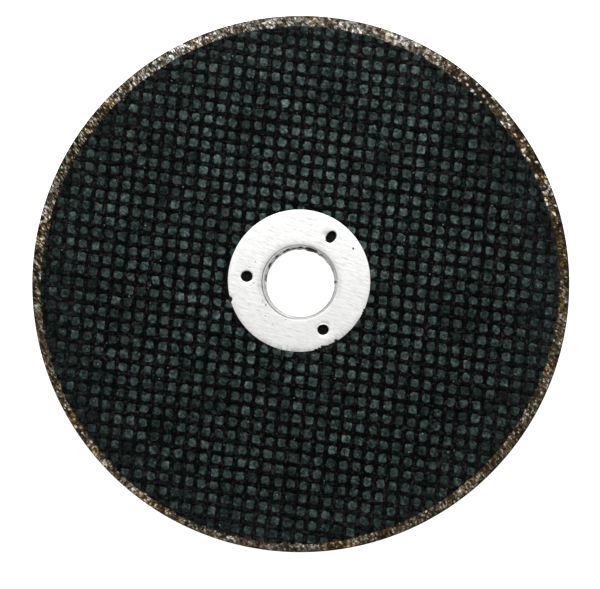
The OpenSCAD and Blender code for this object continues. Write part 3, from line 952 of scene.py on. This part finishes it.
        def inside(loop, x, y):
            hit = False
            n = len(loop)
            for q in range(n):
                x1, y1 = verts[loop[q]][:2]
                x2, y2 = verts[loop[(q + 1) % n]][:2]
                if (y1 > y) != (y2 > y) and x < (x2 - x1) * (y - y1) / (y2 - y1) + x1:
                    hit = not hit
            return hit

        for tri in tris:
            x, y = sum(co[q][0] for q in tri) / 3, sum(co[q][1] for q in tri) / 3
            d = math.hypot(x - RING_C[0], y - RING_C[1])
            if d > RING_R - 1.7 and not inside(out_loop, x, y):
                continue
            if math.hypot(x, y) < BORE_R + 3.31 and inside(in_loop, x, y):
                continue
            if any(math.hypot(x - h[0][0], y - h[0][1]) < 4.2 and inside(lp, x, y) for h, lp in zip(HOLES, holes)):
                continue
            f = [ids[orig[q][0]] for q in tri]
            ax, ay = verts[f[1]][0] - verts[f[0]][0], verts[f[1]][1] - verts[f[0]][1]
            bx, by = verts[f[2]][0] - verts[f[0]][0], verts[f[2]][1] - verts[f[0]][1]
            if (ax * by - ay * bx > 0) != up:
                f = f[::-1]
            faces.append(tuple(f))

    fill(outer[0], inner[0], top_loops, True, 0.9)
    fill(outer[-1], inner[-1], low_loops, False, 0)
    v = np.array(verts)
    mark = np.array(stain_and_shade)
    top_side = v[:, 2] > 2.9

    def spot(x, y, wx, wy, turn=0.0):
        dx, dy = v[:, 0] - x, v[:, 1] - y
        u, w = dx * math.cos(turn) + dy * math.sin(turn), dy * math.cos(turn) - dx * math.sin(turn)
        return np.exp(-((u / wx) ** 2) - (w / wy) ** 2)

    # Painted shade in a halo on the dish outside the pressed line, but for the side towards -Y
    d, w = np.hypot(v[:, 0] - LIP_C[0], v[:, 1] - LIP_C[1]), np.arctan2(v[:, 1], v[:, 0])
    halo = smooth(15.0, 12.5, d) * smooth(-0.85, 0.0, np.sin(w)) * (0.20 + 0.08 * np.clip(-np.cos(w), 0, 1))
    mark = np.where(top_side, np.maximum(mark, halo), mark)
    # Smear of dull metal up-left of the elongated hole
    h = HOLES[0][0]
    mark = np.where(top_side, np.maximum(mark, 0.42 * spot(h[0] - 1.5, h[1] + 1.5, 1.1, 0.6, math.radians(35))), mark)
    # Painted highlights beside the holes, where the metal is pushed up
    g, k = HOLES[2][0], HOLES[1][0]
    painted_highlight = 1.0 * spot(g[0] - 0.3, g[1] + 2.05, 1.0, 0.42) + 0.7 * spot(g[0] + 0.2, g[1] - 2.3, 1.6, 0.5) + 0.6 * spot(k[0] + 0.1, k[1] - 2.4, 1.5, 0.5) + 0.6 * spot(h[0] - 0.9, h[1] - 2.0, 1.2, 0.5)
    painted_highlight = np.where(top_side, np.clip(painted_highlight, 0, 1), 0.0)
    # Resin burnt on to the collar, mostly towards +Y, down to its lower end
    r, w = np.hypot(v[:, 0], v[:, 1]), np.arctan2(v[:, 1], v[:, 0])
    cw, sw = np.cos(w), np.sin(w)
    side = smooth(-0.10, 0.42, 0.95 * sw - 0.22 * cw + 0.30 * np.clip(np.cos(w - math.radians(12)), 0, 1) ** 2)
    down = (12.0 - r) / 0.9
    rag = fbm(cw * 9, sw * 9 + 0.5 * v[:, 2], SEED + 78, 3)
    climb = 0.24 * smooth(0.5, 0.95, np.cos(w - math.radians(48)))
    burnt = side * smooth(-0.05, 0.05, down - 0.42 + climb + 0.70 * rag) * (1 - 0.6 * smooth(11.40, 11.16, r)) * (1 - 0.55 * toward(w, 25, 0.85, 0.97))
    big = np.exp(-(((w - math.radians(71.5)) / 0.11) ** 2)) * smooth(12.05, 11.85, r)
    dot = np.exp(-(((w - math.radians(0.5)) / 0.03) ** 2)) * smooth(12.2, 12.0, r)
    bore_side = (r < 12.2) & (v[:, 2] > COLLAR_Z - 0.01)
    burnt = np.where(bore_side, np.clip(burnt + big + dot, 0, 1), 0.0)
    return make_mesh("centre_ring_stamping", v, faces, RING_MAT, None, {"stain_and_shade": np.clip(mark, 0, 1), "painted_highlight": painted_highlight, "burnt": burnt})


# ------------------------------------------------------------------ resin specks on the ring
def resin_specks():
    """Small hardened drops of resin on the flange, and lumps in the gaps of its edge."""
    spots = [
        (52.9, -33.9, 0.30, 0.42), (-34.3, 22.4, 0.30, 0.22), (-34.8, 33.2, 0.26, 0.22), (-37.4, 18.6, 0.22, 0.16), (-46.3, 0.2, 0.20, 0.16),
        (-49.1, 2.7, 0.18, 0.14), (-41.9, 2.3, 0.20, 0.16), (-44.7, -20.8, 0.16, 0.20), (-51.0, -15.2, 0.16, 0.16), (-14.5, 36.8, 0.18, 0.14), (-27.3, 42.0, 0.14, 0.12),
    ]
    verts, faces = [], []
    n, px = 14, 0.33184
    centre = np.array([-0.02, -0.06])
    th = np.arange(n) * 2 * math.pi / n
    for k, (dx, dy, a, b) in enumerate(spots):
        c = centre + np.array([dx, -dy]) * px
        wob = 1 + 0.28 * fbm(np.cos(th) * 1.7 + k * 3.3, np.sin(th) * 1.7, SEED + 91, 2)
        base = len(verts)
        for scale, z in ((1.0, 3.055), (0.98, 3.088), (0.6, 3.099)):
            for w, q in zip(wob, th):
                verts.append((c[0] + a * scale * w * math.cos(q), c[1] + b * scale * w * math.sin(q), z))
        for row in range(2):
            for i in range(n):
                j = (i + 1) % n
                o = base + row * n
                faces.append((o + i, o + j, o + n + j, o + n + i))
        faces.append([base + 2 * n + i for i in range(n)])
        faces.append([base + i for i in range(n)][::-1])
    # Lumps that fill the flange's broken edge
    rng = np.random.default_rng(SEED + 93)
    places = [(194.6, 0.35, 0.75), (193.6, 0.2, 0.5), (195.9, 0.25, 0.55)] + [(a, 0.15 + 0.25 * rng.random(), 0.45 + 0.4 * rng.random()) for a in np.arange(285.2, 302.5, 1.15)] + [(335.6, 0.12, 0.35), (333.4, 0.1, 0.3)]
    for k, (deg, depth, size) in enumerate(places):
        w = math.radians(deg)
        c = RING_C + (RING_R - depth + 0.1) * np.array([math.cos(w), math.sin(w)])
        wob = 1 + 0.35 * fbm(np.cos(th) * 1.9 + k * 2.1, np.sin(th) * 1.9 + k, SEED + 95, 2)
        base = len(verts)
        topz = 2.93 + 0.10 * rng.random()
        for scale, z in ((1.0, SEAT_Z - 0.02), (1.0, topz - 0.12), (0.8, topz - 0.03), (0.42, topz)):
            for q, g in zip(th, wob):
                verts.append((c[0] + size * scale * g * math.cos(q), c[1] + size * scale * g * math.sin(q), z))
        for row in range(3):
            for i in range(n):
                j = (i + 1) % n
                o = base + row * n
                faces.append((o + i, o + j, o + n + j, o + n + i))
        faces.append([base + 3 * n + i for i in range(n)])
        faces.append([base + i for i in range(n)][::-1])
    return make_mesh("resin_specks", np.array(verts), faces, FLASH_MAT)


body = seat(abrasive_body(), "abrasive", "abrasive_disc")
pads = seat(abrasive_pads(), "abrasive", "abrasive_disc")
net_u = seat(threads("net_threads_up", "u"), "net", "reinforcing_net")
net_v = seat(threads("net_threads_across", "v"), "net", "reinforcing_net")
ring = seat(centre_ring(), "ring_metal", "centre_ring")
specks = seat(resin_specks(), "abrasive")

# ------------------------------------------------------------------ floor, light and camera
floor_mesh = bpy.data.meshes.new("floor")
floor_mesh.from_pydata([(-4, -4, -0.00005), (4, -4, -0.00005), (4, 4, -0.00005), (-4, 4, -0.00005)], [], [(0, 1, 2, 3)])
floor_tree = Tree("pale_floor")
floor_tree.shader(Base_Color=(0.93, 0.93, 0.93, 1), Roughness=0.9, Specular_IOR_Level=0.0, Emission_Color=(1, 1, 1, 1), Emission_Strength=0.85)
floor_mesh.materials.append(floor_tree.mat)
floor = bpy.data.objects.new("floor", floor_mesh)
bpy.context.scene.collection.objects.link(floor)

world = bpy.data.worlds.new("studio")
bpy.context.scene.world = world
world.use_nodes = True
background = next(n for n in world.node_tree.nodes if n.type == "BACKGROUND")
background.inputs["Color"].default_value = (1.0, 1.0, 1.0, 1.0)
background.inputs["Strength"].default_value = 0.42


def softbox(name, at, size, watts):
    light = bpy.data.lights.new(name, "AREA")
    light.shape, light.size, light.energy = "DISK", size, watts
    ob = bpy.data.objects.new(name, light)
    ob.location = at
    ob.rotation_mode = "QUATERNION"
    ob.rotation_quaternion = (Vector((0, 0, 0)) - Vector(at)).to_track_quat("-Z", "Y")
    ob.visible_camera = False
    bpy.context.scene.collection.objects.link(ob)
    return ob


softbox("key_light", (0.0, 0.32, 0.37), 0.40, 2.45)

FRAME_W, FRAME_H = 600.0, 589.0
PX = 178.0 / 537.6  # mm of the wheel's face to one pixel of the frame
DIST, TILT = 820.0, math.radians(3.0)
slant = Vector((0.31, -0.95, 0.0)).normalized()
aim = Vector((-0.11, -3.95, 2.0))
cam_data = bpy.data.cameras.new("camera")
cam_data.sensor_width = 36.0
cam_data.lens = 36.0 * DIST / (FRAME_W * PX)
cam_data.clip_start, cam_data.clip_end = 0.05, 20.0
cam = bpy.data.objects.new("camera", cam_data)
back_dir = (slant * math.sin(TILT) + Vector((0, 0, math.cos(TILT)))).normalized()
right = Vector((0, 1, 0)).cross(back_dir).normalized()
up = back_dir.cross(right)
turn = Matrix((right, up, back_dir)).transposed().to_4x4()
cam.matrix_world = Matrix.Translation((aim + back_dir * DIST) * MM) @ turn
bpy.context.scene.collection.objects.link(cam)
bpy.context.scene.camera = cam
bpy.context.scene.view_settings.view_transform = "Standard"
